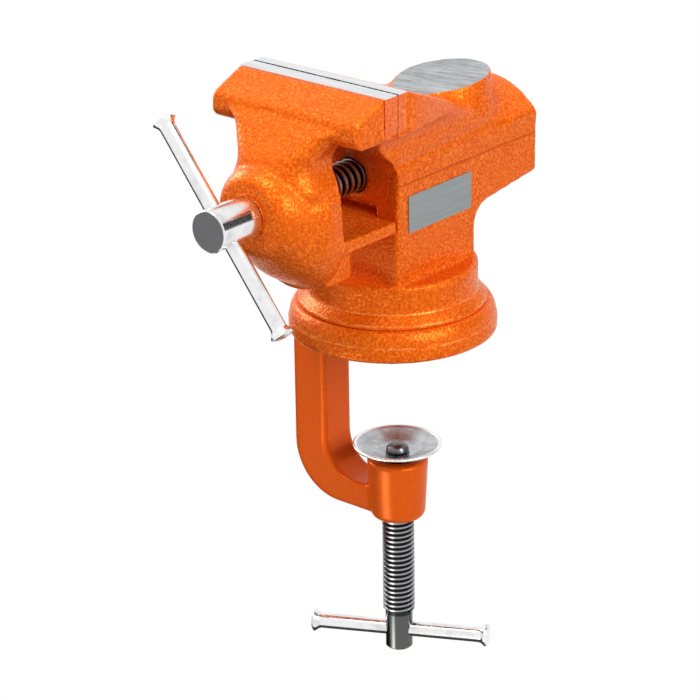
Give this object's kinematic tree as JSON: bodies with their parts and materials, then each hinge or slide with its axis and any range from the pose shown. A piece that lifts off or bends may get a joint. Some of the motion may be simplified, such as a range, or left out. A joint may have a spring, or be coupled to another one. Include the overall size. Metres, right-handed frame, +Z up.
{
  "type": "clamp-on swivel bench vise",
  "caption": "Small orange clamp-on bench vise with a swivel base, steel jaw plates, a round anvil, sliding tommy bars and a C clamp that holds it to a table edge.",
  "frame": {"origin": "on the swivel axis, in the plane where the base disc rests on the bench", "axes": "+Z up, +Y from the jaws towards the anvil, +X to the right of someone facing the main screw"},
  "size_m": [0.0737, 0.141, 0.2133],
  "materials": {
    "orange_enamel": "hammered gloss enamel on cast iron",
    "ground_steel": "ground bright, fine lines along the jaws",
    "bright_steel": "nickel-plated, bright",
    "screw_steel": "dark oiled thread, satin",
    "zinc_steel": "zinc-plated, satin",
    "nut_iron": "as cast, oiled",
    "label_metal": "fine brushed, bare"
  },
  "bodies": {
    "frame": {"clamp_frame": "orange_enamel", "pivot_bolt": "zinc_steel", "pivot_washer": "zinc_steel", "pivot_spring_washer": "zinc_steel", "pivot_nut": "zinc_steel"},
    "body": {"vise_body": "orange_enamel", "fixed_jaw_plate": "ground_steel", "fixed_jaw_screws": "zinc_steel", "spindle_nut": "nut_iron", "nut_screw": "zinc_steel", "name_plate": "label_metal"},
    "jaw": {"moving_jaw": "orange_enamel", "moving_jaw_plate": "ground_steel", "moving_jaw_screws": "zinc_steel"},
    "spindle": {"main_spindle": "bright_steel", "spindle_collar": "screw_steel", "collar_pin": "screw_steel"},
    "spindle_bar": {"spindle_handle": "bright_steel"},
    "pad": {"clamp_pad": "zinc_steel"},
    "screw": {"clamp_screw": "screw_steel"},
    "clamp_bar": {"clamp_handle": "bright_steel"}
  },
  "joints": [
    {"name": "body_swivel", "type": "hinge", "parent": "frame", "child": "body", "pos_m": [0, 0, 0.0105], "axis": [0, 0, 1], "continuous": true},
    {"name": "jaw_slide", "type": "slide", "parent": "body", "child": "jaw", "axis": [0, -1, 0], "range_m": [0, 0.045]},
    {"name": "spindle_turn", "type": "hinge", "parent": "jaw", "child": "spindle", "pos_m": [0, -0.079, 0.0583], "axis": [0, -1, 0], "range_deg": [0, 5401]},
    {"name": "spindle_handle_slide", "type": "slide", "parent": "spindle", "child": "spindle_bar", "axis": [0.6198, 0, -0.7848], "range_m": [-0.0285, 0.0275]},
    {"name": "pad_lift", "type": "slide", "parent": "frame", "child": "pad", "axis": [0, 0, 1], "range_m": [0, 0.038]},
    {"name": "clamp_screw_turn", "type": "hinge", "parent": "pad", "child": "screw", "pos_m": [0.0015, 0, -0.1], "axis": [0, 0, 1], "range_deg": [0, 7818]},
    {"name": "clamp_handle_slide", "type": "slide", "parent": "screw", "child": "clamp_bar", "axis": [0.887, 0.4618, 0], "range_m": [-0.0235, 0.0225]}
  ],
  "couplings": [
    {"joint": "spindle_turn", "follows": "jaw_slide", "rad_per_m": 2094.4},
    {"joint": "clamp_screw_turn", "follows": "pad_lift", "rad_per_m": 3590.4}
  ]
}
